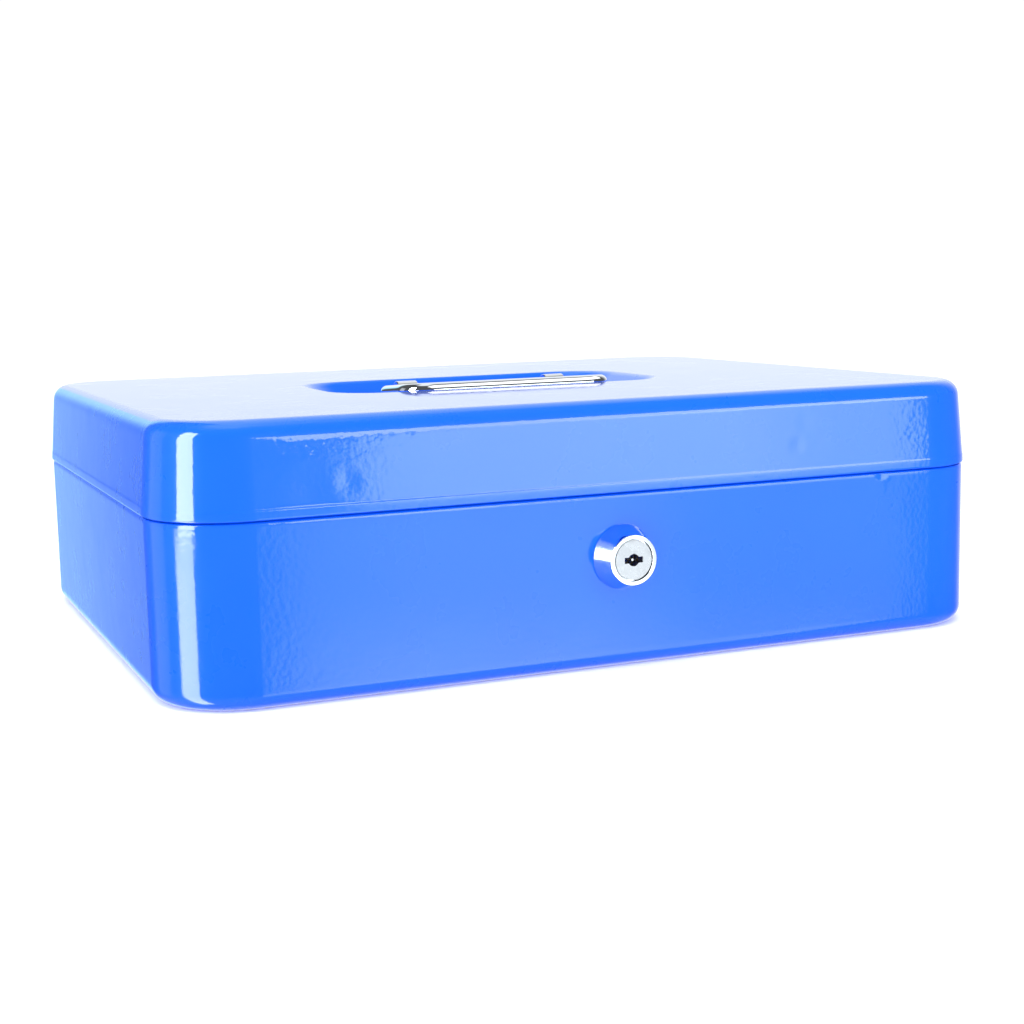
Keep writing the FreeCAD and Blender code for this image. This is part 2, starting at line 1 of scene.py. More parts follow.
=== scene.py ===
"""Blue enamelled steel cash box: drawn shells, cylinder lock, folding handle, hinges and coin tray."""
import math

import bmesh
import bpy
from bpy.props import FloatProperty, FloatVectorProperty, IntProperty, PointerProperty
from mathutils import Matrix, Vector


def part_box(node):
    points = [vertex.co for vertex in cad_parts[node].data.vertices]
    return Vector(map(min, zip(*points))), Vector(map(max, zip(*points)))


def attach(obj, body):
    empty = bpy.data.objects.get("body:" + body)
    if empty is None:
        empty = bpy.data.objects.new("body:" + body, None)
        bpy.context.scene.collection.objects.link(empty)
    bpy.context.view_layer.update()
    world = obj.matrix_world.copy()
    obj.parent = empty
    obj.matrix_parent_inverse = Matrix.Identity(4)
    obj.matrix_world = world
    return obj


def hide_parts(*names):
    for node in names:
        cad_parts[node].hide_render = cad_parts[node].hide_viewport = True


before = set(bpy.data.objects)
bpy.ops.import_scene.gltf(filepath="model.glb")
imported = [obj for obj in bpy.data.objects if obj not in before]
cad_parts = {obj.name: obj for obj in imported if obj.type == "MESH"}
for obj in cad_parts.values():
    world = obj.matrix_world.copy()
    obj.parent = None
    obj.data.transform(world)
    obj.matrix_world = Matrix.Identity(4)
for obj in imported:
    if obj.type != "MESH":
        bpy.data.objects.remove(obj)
bpy.context.view_layer.update()

bl_info = {
    "name": "Steel Cash Box",
    "version": (1, 0, 0),
    "blender": (4, 5, 0),
    "location": "3D View > Sidebar > Cash Box",
    "description": "Builds an enamelled steel cash box round its CAD frame",
    "category": "Object",
}

MM = 0.001
BASE_LOW, BASE_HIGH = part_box("base_shell")
LID_LOW, LID_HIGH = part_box("lid_shell")
HOUSING_LOW, HOUSING_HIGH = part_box("lock_housing")
LEAF_LOW, LEAF_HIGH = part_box("hinge_base_leaf_right")

BASE_HALF = Vector((BASE_HIGH.x, -BASE_LOW.y))
LID_HALF = Vector((LID_HIGH.x, -LID_LOW.y))
WIRE_RADIUS = 2.5 * MM
LID_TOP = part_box("bail_handle")[1].z - WIRE_RADIUS
HINGE_X = (LEAF_LOW.x + LEAF_HIGH.x) / 2
LOCK_Z = (HOUSING_LOW.z + HOUSING_HIGH.z) / 2
# the lid and the base part here, and each stands back from it by half the seam
PART_Z = 58.0 * MM
HALF_SEAM = 0.3 * MM


# ---- settings
class CashBoxSizes(bpy.types.PropertyGroup):
    """Sizes of the pieces that are drawn or turned here."""

    sheet: FloatProperty(
        name="Sheet", description="Steel sheet thickness", default=0.8 * MM, unit="LENGTH")
    corner: FloatProperty(
        name="Corner", description="Plan radius of the lid's corners", default=28 * MM, unit="LENGTH")
    foot_radius: FloatProperty(
        name="Foot radius", description="Radius of the underside edge", default=5.5 * MM, unit="LENGTH")
    top_radius: FloatProperty(
        name="Top radius", description="Radius of the lid's top edge", default=6 * MM, unit="LENGTH")
    lean: FloatProperty(
        name="Lean", description="Inward slope of the lid's walls", default=0.08418)
    hem_height: FloatProperty(
        name="Hem height", description="Crease above the lid's lower edge", default=2.9 * MM, unit="LENGTH")
    recess_depth: FloatProperty(
        name="Recess depth", description="Depth of the handle recess", default=9 * MM, unit="LENGTH")
    wire: FloatProperty(
        name="Handle wire", description="Radius of the handle's wire", default=WIRE_RADIUS, unit="LENGTH")
    thread_pitch: FloatProperty(
        name="Thread pitch", description="Pitch of the lock barrel's thread", default=1 * MM, unit="LENGTH")
    wire_sides: IntProperty(
        name="Wire sides", description="Faces round the handle's wire", default=32)


class CashBoxFinishes(bpy.types.PropertyGroup):
    """Colours and surface detail of the finishes."""

    enamel: FloatVectorProperty(
        name="Enamel", description="Blue enamel", default=(0.0025, 0.118, 0.93), subtype="COLOR", size=3)
    peel: FloatProperty(
        name="Orange peel", description="Height of the enamel's orange peel", default=0.016 * MM,
        unit="LENGTH")
    chrome: FloatVectorProperty(
        name="Chrome", description="Chrome plate", default=(0.86, 0.87, 0.88), subtype="COLOR", size=3)
    nickel: FloatVectorProperty(
        name="Nickel", description="Bright nickel plate", default=(0.78, 0.77, 0.75), subtype="COLOR",
        size=3)
    zinc: FloatVectorProperty(
        name="Zinc", description="Zinc plated steel", default=(0.60, 0.62, 0.65), subtype="COLOR", size=3)
    brass: FloatVectorProperty(
        name="Brass", description="Machined brass", default=(0.72, 0.50, 0.20), subtype="COLOR", size=3)
    plug: FloatVectorProperty(
        name="Plug", description="Face of the lock's plug", default=(0.60, 0.58, 0.58),
        subtype="COLOR", size=3)
    spring: FloatVectorProperty(
        name="Spring steel", description="Bright spring steel", default=(0.50, 0.50, 0.51),
        subtype="COLOR", size=3)
    plastic: FloatVectorProperty(
        name="Plastic", description="Moulded tray plastic", default=(0.018, 0.018, 0.020),
        subtype="COLOR", size=3)


class CashBoxStudio(bpy.types.PropertyGroup):
    """Floor, light and camera."""

    lens: FloatProperty(name="Lens", description="Focal length", default=59.316 * MM, unit="CAMERA")
    camera_place: FloatVectorProperty(
        name="Camera place", description="Where the camera stands", default=(-0.24563, -0.60498, 0.13053),
        subtype="TRANSLATION", size=3)
    camera_turn: FloatVectorProperty(
        name="Camera turn", description="Yaw, downward pitch and roll", default=(0.40277, 0.14289, -0.02155),
        subtype="EULER", size=3)
    dome: FloatProperty(name="Dome", description="Even light from all round", default=1.15)
    backdrop: FloatProperty(name="Backdrop", description="White behind the object", default=1.05)
    floor: FloatVectorProperty(
        name="Floor", description="Pale studio floor", default=(0.93, 0.93, 0.93), subtype="COLOR", size=3)


def sizes():
    return bpy.context.scene.cash_box_sizes


def finishes():
    return bpy.context.scene.cash_box_finishes


# ---- mesh helpers
SHARP = math.radians(35)
SHARP_SHEET = math.radians(50)


def spread(start, end, step):
    """Values from start to end, evenly, no further apart than step."""
    count = max(1, math.ceil(abs(end - start) / step - 1e-9))
    return [start + (end - start) * i / count for i in range(count + 1)]


def joined(*runs):
    """Runs of values end to end, without the doubled ends."""
    out = list(runs[0])
    for run in runs[1:]:
        out += run[1:]
    return out


def between(start, end, step):
    """Points from start to end on a straight line, no further apart than step."""
    (ax, ay), (bx, by) = start, end
    length = math.hypot(bx - ax, by - ay)
    return [(ax + (bx - ax) * t, ay + (by - ay) * t) for t in spread(0, 1, step / length)]


def arc(cx, cy, radius, first, last, count=14):
    """Points of an arc round (cx, cy), from first to last degree."""
    angles = [math.radians(first + (last - first) * i / count) for i in range(count + 1)]
    return [(cx + radius * math.cos(a), cy + radius * math.sin(a)) for a in angles]


def outline(half_x, half_y, radius, z, runs, arc_steps=14):
    """Rounded rectangle as a closed list of points; runs give the fractions along front, side and rear."""
    front, side, rear = runs
    run_x, run_y = half_x - radius, half_y - radius
    points = [(-run_x + 2 * run_x * t, -half_y) for t in front]
    arcs = ((run_x, -run_y, -90), (run_x, run_y, 0), (-run_x, run_y, 90), (-run_x, -run_y, 180))
    straights = (
        [(half_x, -run_y + 2 * run_y * t) for t in side],
        [(run_x - 2 * run_x * t, half_y) for t in rear],
        [(-half_x, run_y - 2 * run_y * t) for t in side],
        [])
    for (cx, cy, start), straight in zip(arcs, straights):
        for k in range(1, arc_steps):
            a = math.radians(start + 90 * k / arc_steps)
            points.append((cx + radius * math.cos(a), cy + radius * math.sin(a)))
        points += straight
    return [Vector((x, y, z)) for x, y in points]


def skin(name, rings, cap_first=False, cap_last=False, keep=None):
    """Mesh object over a stack of rings; keep(a, b, c, d) may leave out a face."""
    bm = bmesh.new()
    rows = [[bm.verts.new(p) for p in ring] for ring in rings]
    count = len(rows[0])
    for low, high in zip(rows, rows[1:]):
        for i in range(count):
            j = (i + 1) % count
            corners = (low[i], low[j], high[j], high[i])
            if keep is None or keep(*[c.co for c in corners]):
                bm.faces.new(corners)
    if cap_first:
        bm.faces.new(rows[0][::-1])
    if cap_last:
        bm.faces.new(rows[-1])
    loose = [v for v in bm.verts if not v.link_faces]
    bmesh.ops.delete(bm, geom=loose, context="VERTS")
    return finish_mesh(name, bm)


def finish_mesh(name, bm):
    """Object from a bmesh, smooth but for its sharp edges."""
    bmesh.ops.recalc_face_normals(bm, faces=bm.faces)
    mesh = bpy.data.meshes.new(name)
    bm.to_mesh(mesh)
    bm.free()
    for polygon in mesh.polygons:
        polygon.use_smooth = True
    mesh.set_sharp_from_angle(angle=SHARP)
    piece = bpy.data.objects.new(name, mesh)
    bpy.context.scene.collection.objects.link(piece)
    return piece


def lathe(name, profile, centre, steps=96):
    """Turned piece about the Y axis; profile is a closed list of (radius, y)."""
    bm = bmesh.new()
    turns = [2 * math.pi * k / steps for k in range(steps)]
    rows = [[bm.verts.new((centre.x + radius * math.cos(a), y, centre.z + radius * math.sin(a)))
             for a in turns] for radius, y in profile]
    for a, b in zip(rows, rows[1:] + rows[:1]):
        for k in range(steps):
            m = (k + 1) % steps
            bm.faces.new((a[k], a[m], b[m], b[k]))
    return finish_mesh(name, bm)


def apply_modifiers(piece):
    """The piece's mesh becomes what its modifiers make."""
    bpy.context.view_layer.update()
    graph = bpy.context.evaluated_depsgraph_get()
    mesh = bpy.data.meshes.new_from_object(piece.evaluated_get(graph))
    piece.modifiers.clear()
    piece.data = mesh


def thicken(piece, thickness):
    """Gives a skin its sheet thickness, inward."""
    solid = piece.modifiers.new("Sheet", "SOLIDIFY")
    solid.thickness = thickness
    solid.offset = -1
    solid.use_even_offset = True
    apply_modifiers(piece)
    for polygon in piece.data.polygons:
        polygon.use_smooth = True
    piece.data.set_sharp_from_angle(angle=SHARP_SHEET)


def soften(node, width, angle=32, segments=2):
    """Small edge radius on a CAD node, through modifiers only."""
    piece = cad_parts[node]
    weld = piece.modifiers.new("Weld", "WELD")
    weld.merge_threshold = 0.002 * MM
    bevel = piece.modifiers.new("Edge", "BEVEL")
    bevel.width = width
    bevel.segments = segments
    bevel.limit_method = "ANGLE"
    bevel.angle_limit = math.radians(angle)
    bevel.use_clamp_overlap = True
    normals = piece.modifiers.new("Normals", "WEIGHTED_NORMAL")
    normals.keep_sharp = True


def dress(piece, material):
    piece.data.materials.clear()
    piece.data.materials.append(material)


def dress_node(node, material):
    dress(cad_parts[node], material)


# ---- finishes
class Nodes:
    """Short way to add and link shader nodes."""

    def __init__(self, name):
        self.material = bpy.data.materials.get(name)
        self.fresh = self.material is None
        if self.fresh:
            self.material = bpy.data.materials.new(name)
            self.material.use_nodes = True
            self.tree = self.material.node_tree
            self.shader = self.tree.nodes["Principled BSDF"]
            self.coords = self.add("ShaderNodeTexCoord").outputs["Object"]

    def add(self, kind):
        return self.tree.nodes.new(kind)

    def noise(self, scale, detail=2.0, rough=0.5, coords=None):
        node = self.add("ShaderNodeTexNoise")
        node.inputs["Scale"].default_value = scale
        node.inputs["Detail"].default_value = detail
        node.inputs["Roughness"].default_value = rough
        self.link(coords or self.coords, node.inputs["Vector"])
        return node.outputs["Fac"]

    def stretched(self, x, y, z):
        node = self.add("ShaderNodeMapping")
        node.inputs["Scale"].default_value = (x, y, z)
        self.link(self.coords, node.inputs["Vector"])
        return node.outputs["Vector"]

    def spread(self, value, low, high, to_low, to_high):
        node = self.add("ShaderNodeMapRange")
        for key, number in (("From Min", low), ("From Max", high), ("To Min", to_low), ("To Max", to_high)):
            node.inputs[key].default_value = number
        self.link(value, node.inputs["Value"])
        return node.outputs["Result"]

    def shades(self, value, *stops):
        node = self.add("ShaderNodeValToRGB")
        ramp = node.color_ramp
        while len(ramp.elements) < len(stops):
            ramp.elements.new(0.5)
        for element, (place, colour) in zip(ramp.elements, stops):
            element.position = place
            element.color = (*colour, 1)
        self.link(value, node.inputs["Fac"])
        return node.outputs["Color"]

    def bump(self, height, distance, after=None):
        node = self.add("ShaderNodeBump")
        node.inputs["Strength"].default_value = 1.0
        node.inputs["Distance"].default_value = distance
        self.link(height, node.inputs["Height"])
        if after is not None:
            self.link(after, node.inputs["Normal"])
        return node.outputs["Normal"]

    def link(self, source, target):
        self.tree.links.new(source, target)

    def set(self, **values):
        for key, value in values.items():
            self.shader.inputs[key.replace("_", " ")].default_value = value

    def feed(self, **sources):
        for key, source in sources.items():
            self.link(source, self.shader.inputs[key.replace("_", " ")])


def scaled(colour, factor):
    return tuple(min(1.0, c * factor) for c in colour)


def enamel():
    """Deep gloss stove enamel with orange peel under a clear surface."""
    n = Nodes("blue_enamel")
    if not n.fresh:
        return n.material
    colour = tuple(finishes().enamel)
    tone = n.noise(9.0, 3.0, 0.6)
    n.feed(Base_Color=n.shades(tone, (0.3, scaled(colour, 0.955)), (0.7, scaled(colour, 1.045))))
    peel = n.noise(620.0, 1.0, 0.4)
    ripple = n.noise(120.0, 1.0, 0.4)
    fine = n.bump(peel, finishes().peel)
    both = n.bump(ripple, finishes().peel, fine)
    n.feed(Normal=both, Coat_Normal=both)
    smudge = n.noise(38.0, 4.0, 0.65)
    n.feed(Roughness=n.spread(smudge, 0.35, 0.75, 0.26, 0.34))
    n.set(Coat_Weight=1.0, Coat_Roughness=0.035, Coat_IOR=1.5, IOR=1.45, Specular_IOR_Level=0.22)
    return n.material


def plate(name, colour, rough):
    """Polished plate; a slight haze and fine polishing marks break the mirror."""
    n = Nodes(name)
    if not n.fresh:
        return n.material
    haze = n.noise(260.0, 3.0, 0.6)
    n.feed(Roughness=n.spread(haze, 0.3, 0.75, rough * 0.7, rough * 1.5))
    n.feed(Base_Color=n.shades(n.noise(90.0, 2.0), (0.3, scaled(colour, 0.97)), (0.7, scaled(colour, 1.02))))
    marks = n.noise(30.0, 2.0, 0.6, n.stretched(4.0, 90.0, 90.0))
    n.feed(Normal=n.bump(marks, 0.004 * MM))
    n.set(Metallic=1.0)
    return n.material


def zinc():
    """Zinc plate with its mottled crystals."""
    n = Nodes("zinc_plate")
    if not n.fresh:
        return n.material
    colour = tuple(finishes().zinc)
    crystals = n.add("ShaderNodeTexVoronoi")
    crystals.inputs["Scale"].default_value = 420.0
    n.link(n.coords, crystals.inputs["Vector"])
    n.feed(Base_Color=n.shades(crystals.outputs["Distance"], (0.1, scaled(colour, 0.86)),
                               (0.6, scaled(colour, 1.06))))
    n.feed(Roughness=n.spread(n.noise(300.0, 3.0), 0.3, 0.7, 0.24, 0.42))
    n.feed(Normal=n.bump(n.noise(900.0, 2.0), 0.006 * MM))
    n.set(Metallic=1.0)
    return n.material


def machined(name, colour, rough):
    """Turned or stamped metal with tool marks."""
    n = Nodes(name)
    if not n.fresh:
        return n.material
    marks = n.noise(60.0, 2.0, 0.5, n.stretched(12.0, 1.0, 12.0))
    n.feed(Base_Color=n.shades(marks, (0.3, scaled(colour, 0.88)), (0.75, scaled(colour, 1.06))))
    n.feed(Roughness=n.spread(marks, 0.3, 0.7, rough * 0.8, rough * 1.3))
    n.feed(Normal=n.bump(marks, 0.008 * MM))
    n.set(Metallic=1.0)
    return n.material


def tray_plastic():
    """Moulded polystyrene with a fine grain."""
    n = Nodes("tray_plastic")
    if not n.fresh:
        return n.material
    colour = tuple(finishes().plastic)
    grain = n.noise(1100.0, 2.0, 0.6)
    n.feed(Base_Color=n.shades(n.noise(45.0, 3.0), (0.3, scaled(colour, 0.85)), (0.7, scaled(colour, 1.25))))
    n.feed(Roughness=n.spread(grain, 0.3, 0.7, 0.42, 0.58))
    n.feed(Normal=n.bump(grain, 0.03 * MM))
    n.set(Specular_IOR_Level=0.45)
    return n.material


def chrome():
    return plate("chrome_plate", tuple(finishes().chrome), 0.045)


def nickel():
    return plate("nickel_plate", tuple(finishes().nickel), 0.11)


# ---- shells
DINGS = (
    # x, z, radius and depth of each dent in the lid's front wall, in mm
    (-92.5, 67.8, 4.7, 0.05),
    (-60.0, 73.0, 3.4, 0.02),
    (2.0, 69.0, 4.0, 0.045),
    (67.3, 69.5, 3.4, 0.11),
    (70.5, 77.0, 3.4, 0.04),
    (-104.0, 64.5, 9.0, 0.05),
)
# the same for the nick in the base's front edge
NICK = (101.5, 56.6, 1.6, 0.35)
# cut-outs in the rear walls round the hinge knuckles
NOTCH_HALF = 19.0 * MM
NOTCH_REACH = 3.6 * MM
# half length, half width and corner radius of the handle recess at its rim, what each loses down the slope,
# and the share of the slope over which its two bends are soft
RECESS_RIM = (65.0 * MM, 34.4 * MM, 20.0 * MM)
RECESS_LOSS = (13.0 * MM, 5.5 * MM, 5.5 * MM)
RECESS_SOFT = 0.16


def wall_runs(run_x, run_y):
    """Fractions along the front, side and rear runs of a shell."""
    notch = [HINGE_X - NOTCH_HALF, HINGE_X + NOTCH_HALF]
    edge, fine, coarse = 0.8 * MM, 1.4 * MM, 4 * MM
    front = joined([-run_x, -run_x + edge], spread(-run_x + edge, run_x - edge, fine), [run_x - edge, run_x])
    side = joined([-run_y, -run_y + edge], spread(-run_y + edge, run_y - edge, coarse), [run_y - edge, run_y])
    stops = [-run_x + edge, -notch[1], -notch[0], notch[0], notch[1], run_x - edge]
    rear = joined([-run_x, stops[0]], *[spread(a, b, coarse) for a, b in zip(stops, stops[1:])],
                  [stops[-1], run_x])
    return ([(x + run_x) / (2 * run_x) for x in front], [(y + run_y) / (2 * run_y) for y in side],
            [(x + run_x) / (2 * run_x) for x in rear])


def in_notch(corners, low, high):
    """Whether a face lies in one of the two hinge cut-outs in the rear wall."""
    x = abs(sum(c.x for c in corners) / 4)
    y = sum(c.y for c in corners) / 4
    z = sum(c.z for c in corners) / 4
    return y > BASE_HALF.y - 4 * MM and abs(x - HINGE_X) < NOTCH_HALF and low < z < high


def dent(point, x, z, radius, depth, lip=0.12):
    """Presses a shallow dish with a faint raised rim into a front wall."""
    away = math.hypot(point.x - x, point.z - z) / radius
    if away < 1:
        point.y += depth * (1 - away * away) ** 2
    elif away < 1.5:
        point.y -= depth * lip * math.sin(math.pi * (away - 1) / 0.5) ** 2


class CASHBOX_OT_base(bpy.types.Operator):
    """Drawn steel base with a rolled shoulder and a lip that the lid closes over"""

    bl_idname = "cashbox.base"
    bl_label = "Base shell"

    def execute(self, context):
        s = sizes()
        half = BASE_HALF
        radius = s.corner - 0.5 * MM
        runs = wall_runs(half.x - radius, half.y - radius)
        top = PART_Z - HALF_SEAM
        foot = s.foot_radius
        # the wall leans in by tilt over a narrow band, then rolls over the shoulder to the lip's step
        shoulder, band, tilt = 0.7 * MM, 0.45 * MM, math.radians(8)
        bend = top - band - shoulder * (1 - math.sin(tilt))
        leant = band * math.tan(tilt)
        step, lip = 1.304 * MM, 4.8 * MM
        least = 2 * MM
        profile = [(foot + inset * MM, 0) for inset in (14, 2, 0.6)]
        profile += [(foot * (1 - math.sin(a)), foot * (1 - math.cos(a)))
                    for a in (math.pi / 2 * k / 12 for k in range(13))]
        wall = joined([foot, foot + 0.8 * MM], spread(foot + 0.8 * MM, PART_Z - NOTCH_REACH, 3 * MM),
                      spread(PART_Z - NOTCH_REACH, bend, 0.6 * MM))
        profile += [(0, z) for z in wall[1:]]
        profile += [(leant * t, bend + band * t) for t in (0.15, 0.3, 0.7, 1)]
        profile += [(leant + shoulder * (math.cos(tilt) - math.cos(a)), top - shoulder * (1 - math.sin(a)))
                    for a in (tilt + (math.pi / 2 - tilt) * k / 6 for k in range(1, 7))]
        profile += [(step - 0.15 * MM, top), (step, top + 0.15 * MM)]
        profile += [(step, z) for z in spread(top + 0.15 * MM, PART_Z + lip, 1.2 * MM)[1:]]
        rings = [outline(half.x - inset, half.y - inset, max(radius - inset, least), z, runs)
                 for inset, z in profile]
        for ring in rings:
            for p in ring:
                if p.y < -half.y + 1.2 * MM:
                    dent(p, *[v * MM for v in NICK], lip=0.3)
        piece = skin("base_body", rings, cap_first=True,
                     keep=lambda *c: not in_notch(c, PART_Z - NOTCH_REACH, 1))
        thicken(piece, s.sheet)
        dress(piece, enamel())
        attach(piece, "box_base")
        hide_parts("base_shell")
        return {"FINISHED"}


class CASHBOX_OT_lid(bpy.types.Operator):
    """Drawn steel lid with a pressed crease above its edge and the handle recess"""

    bl_idname = "cashbox.lid"
    bl_label = "Lid shell"

    def execute(self, context):
        s = sizes()
        half, radius = LID_HALF, s.corner
        runs = wall_runs(half.x - radius, half.y - radius)
        low = PART_Z + HALF_SEAM
        slope = s.lean
        hem_slope = slope / 2
        # the top edge's arc starts where the leaning wall touches it
        arc_steps = 14
        start = math.atan(slope)
        centre_z = LID_TOP - s.top_radius
        centre_in = slope * (centre_z - low) + s.top_radius * math.hypot(1, slope)
        tangent_z = centre_z + s.top_radius * math.sin(start)
        # the wall leans half as much below the crease, and changes over within blend
        crease, near, blend = low + s.hem_height, 0.6 * MM, 0.18 * MM
        notch_top = PART_Z + NOTCH_REACH
        past_notch = notch_top + 0.2 * MM
        heights = joined([low + 0.25 * MM, low + near], spread(low + near, crease - near, 0.8 * MM),
                         spread(crease - near, past_notch, 0.2 * MM),
                         spread(past_notch, tangent_z - 0.5 * MM, 1.1 * MM), [tangent_z])
        heights = sorted(set(heights + [notch_top]))
        profile = [(0.12 * MM, low)]
        for z in heights:
            past = 1 / (1 + math.exp(-(z - crease) / blend))
            steep = hem_slope * (z - low)
            profile.append((steep + (slope * (z - low) - steep) * past, z))
        for k in range(1, arc_steps + 1):
            a = start + (math.pi / 2 - start) * k / arc_steps
            profile.append((centre_in - s.top_radius * math.cos(a), centre_z + s.top_radius * math.sin(a)))
        rings = [outline(half.x - i, half.y - i, radius - i, z, runs) for i, z in profile]
        front, bend_z = -half.y + 6 * MM, LID_TOP - 5 * MM
        for ring in rings[2:]:
            for p in ring:
                if p.y < front and p.z < bend_z:
                    for ding in DINGS:
                        dent(p, *[v * MM for v in ding])
        inner = profile[-1][0]
        rim = (half.x - inner, half.y - inner, radius - inner)
        mouth = self.recess(-RECESS_SOFT)[:3]
        for t in (0.01, 0.06, 0.25, 0.5, 0.75, 0.94, 0.985):
            rings.append(outline(*[a + (b - a) * t for a, b in zip(rim, mouth)], LID_TOP, runs))
        bend = [RECESS_SOFT * (k / 5 - 1) for k in range(11)]
        for a in bend + [0.3, 0.45, 0.6, 0.75] + [1 + a for a in bend]:
            x, y, r, fall = self.recess(a)
            rings.append(outline(x, y, r, LID_TOP - s.recess_depth * fall, runs))
        pan_z, least = LID_TOP - s.recess_depth, 2 * MM
        for inset in (0.5 * MM, 6 * MM, 11 * MM):
            rings.append(outline(x - inset, y - inset, max(r - inset, least), pan_z, runs))
        piece = skin("lid_body", rings, cap_last=True, keep=lambda *c: not in_notch(c, 0, notch_top))
        thicken(piece, s.sheet)
        dress(piece, enamel())
        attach(piece, "box_lid")
        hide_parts("lid_shell")
        return {"FINISHED"}

    @staticmethod
    def recess(a):
        """Outline and share of the depth at a point of the recess slope; 0 is the rim and 1 the pan."""
        soft = RECESS_SOFT
        fall = a
        if a < soft:
            fall = (a + soft) ** 2 / (4 * soft)
        elif a > 1 - soft:
            fall = 1 - (1 + soft - a) ** 2 / (4 * soft)
        x, y, r = [rim - loss * a for rim, loss in zip(RECESS_RIM, RECESS_LOSS)]
        return x, y, r, fall


# ---- handle
class CASHBOX_OT_handle(bpy.types.Operator):
    """Chromed wire handle with its two ends turned in"""

    bl_idname = "cashbox.handle"
    bl_label = "Handle"

    def execute(self, context):
        s = sizes()
        low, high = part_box("bail_handle")
        reach = -low.y - s.wire
        pivot_z = LID_TOP - WIRE_RADIUS
        rise = high.z - s.wire - pivot_z
        length = math.hypot(reach, rise)
        half = high.x - s.wire
        end_x, foot, grip, blunt = 25 * MM, 5 * MM, 8 * MM, 0.3 * MM
        end_size, step = 0.86, 4 * MM

        # one half of the bent wire, flat, from its turned-in end to the grip
        right = [(end_x, 0)] + between((end_x + blunt, 0), (half - foot, 0), step)
        right += arc(half - foot, foot, foot, -90, 0)[1:]
        right += between((half, foot), (half, length - grip), step)[1:]
        right += arc(half - grip, length - grip, grip, 0, 90, 18)[1:]
        across = between((half - grip, length), (-half + grip, length), step)[1:-1]
        left = [(-x, y) for x, y in right][::-1]
        flat = right + across + left
        path = [Vector((x, -reach * y / length, pivot_z + rise * y / length)) for x, y in flat]
        normal = Vector((0, rise, reach)).normalized()
        rings = []
        last = len(path) - 1
        for i, p in enumerate(path):
            along = (path[min(i + 1, last)] - path[max(i - 1, 0)]).normalized()
            side = along.cross(normal).normalized()
            size = s.wire * (end_size if i in (0, last) else 1)
            rings.append([p + (side * math.cos(a) + normal * math.sin(a)) * size
                          for a in (2 * math.pi * k / s.wire_sides for k in range(s.wire_sides))])
        piece = skin("handle_wire", rings, cap_first=True, cap_last=True)
        dress(piece, chrome())
        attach(piece, "carry_handle")
        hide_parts("bail_handle")
        for side in ("left", "right"):
            soften("handle_clip_" + side, 0.34 * MM, segments=4)
            dress_node("handle_clip_" + side, nickel())
        return {"FINISHED"}


# ---- lock
class CASHBOX_OT_lock(bpy.types.Operator):
    """Cylinder lock: turned bezel, threaded barrel, plug, wafers, nut, cam and screw"""

    bl_idname = "cashbox.lock"
    bl_label = "Lock"

    def execute(self, context):
        self.housing()
        soften("lock_plug", 0.12 * MM)
        dress_node("lock_plug", machined("plug_face", tuple(finishes().plug), 0.3))
        dress_node("lock_core_pin", nickel())
        dress_node("lock_wafers", machined("wafer_brass", tuple(finishes().brass), 0.25))
        dress_node("lock_wafer_springs", machined("spring_wire", tuple(finishes().spring), 0.2))
        for node, width in (("lock_washer", 0.15), ("lock_nut", 0.35), ("lock_cam", 0.2),
                            ("cam_washer", 0.12), ("cam_screw", 0.12), ("striker", 0.2)):
            soften(node, width * MM)
            dress_node(node, zinc())
        return {"FINISHED"}

    def housing(self):
        """Bezel: ring gap round the plug, rounded rim, cone, short skirt and threaded barrel."""
        s = sizes()
        face, back = HOUSING_LOW.y, HOUSING_HIGH.y
        wall = -BASE_HALF.y
        cone, rim, barrel, bore = 10.8 * MM, 8.3 * MM, 9.0 * MM, 6.58 * MM
        edge, gap, gap_depth, skirt = 0.22 * MM, 0.3 * MM, 1.4 * MM, 0.6 * MM
        root, lead = 0.34 * MM, 0.4 * MM
        flat = rim - edge * 1.1
        profile = [(bore, face + gap_depth), (bore + gap, face + gap_depth), (bore + gap, face + 0.12 * MM),
                   (bore + gap + 0.08 * MM, face), (flat, face)]
        slant = math.atan2(wall - skirt - face - edge, cone - rim)
        for k in range(1, 7):
            a = slant * k / 6
            profile.append((flat + edge * math.sin(a), face + edge * (1 - math.cos(a))))
        near, far = profile[-1], (cone, wall - skirt)
        profile += [(near[0] + (far[0] - near[0]) * t, near[1] + (far[1] - near[1]) * t)
                    for t in (0.03, 0.1, 0.3, 0.5, 0.7, 0.9, 0.97, 1)]
        profile += [(cone, wall - skirt * 0.93), (cone, wall - 0.1 * MM), (cone, wall), (barrel, wall)]
        y = wall + s.sheet
        profile.append((barrel, y))
        while y + s.thread_pitch < back - lead:
            profile += [(barrel - root, y + s.thread_pitch / 2), (barrel, y + s.thread_pitch)]
            y += s.thread_pitch
        profile += [(barrel - lead, back), (bore, back)]
        piece = lathe("lock_bezel", profile, Vector((0, 0, LOCK_Z)))
        dress(piece, chrome())
        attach(piece, "box_base")
        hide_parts("lock_housing")


# ---- hinges, tray and brackets
class CASHBOX_OT_hinges(bpy.types.Operator):
    """Hinge leaves, pins and rivets"""

    bl_idname = "cashbox.hinges"
    bl_label = "Hinges"

    def execute(self, context):
        for side in ("left", "right"):
            for node in ("hinge_base_leaf_", "hinge_lid_leaf_", "hinge_pin_"):
                soften(node + side, 0.15 * MM)
                dress_node(node + side, zinc())
        for node in ("hinge_base_rivets", "hinge_lid_rivets"):
            soften(node, 0.12 * MM, 50)
            dress_node(node, nickel())
        return {"FINISHED"}


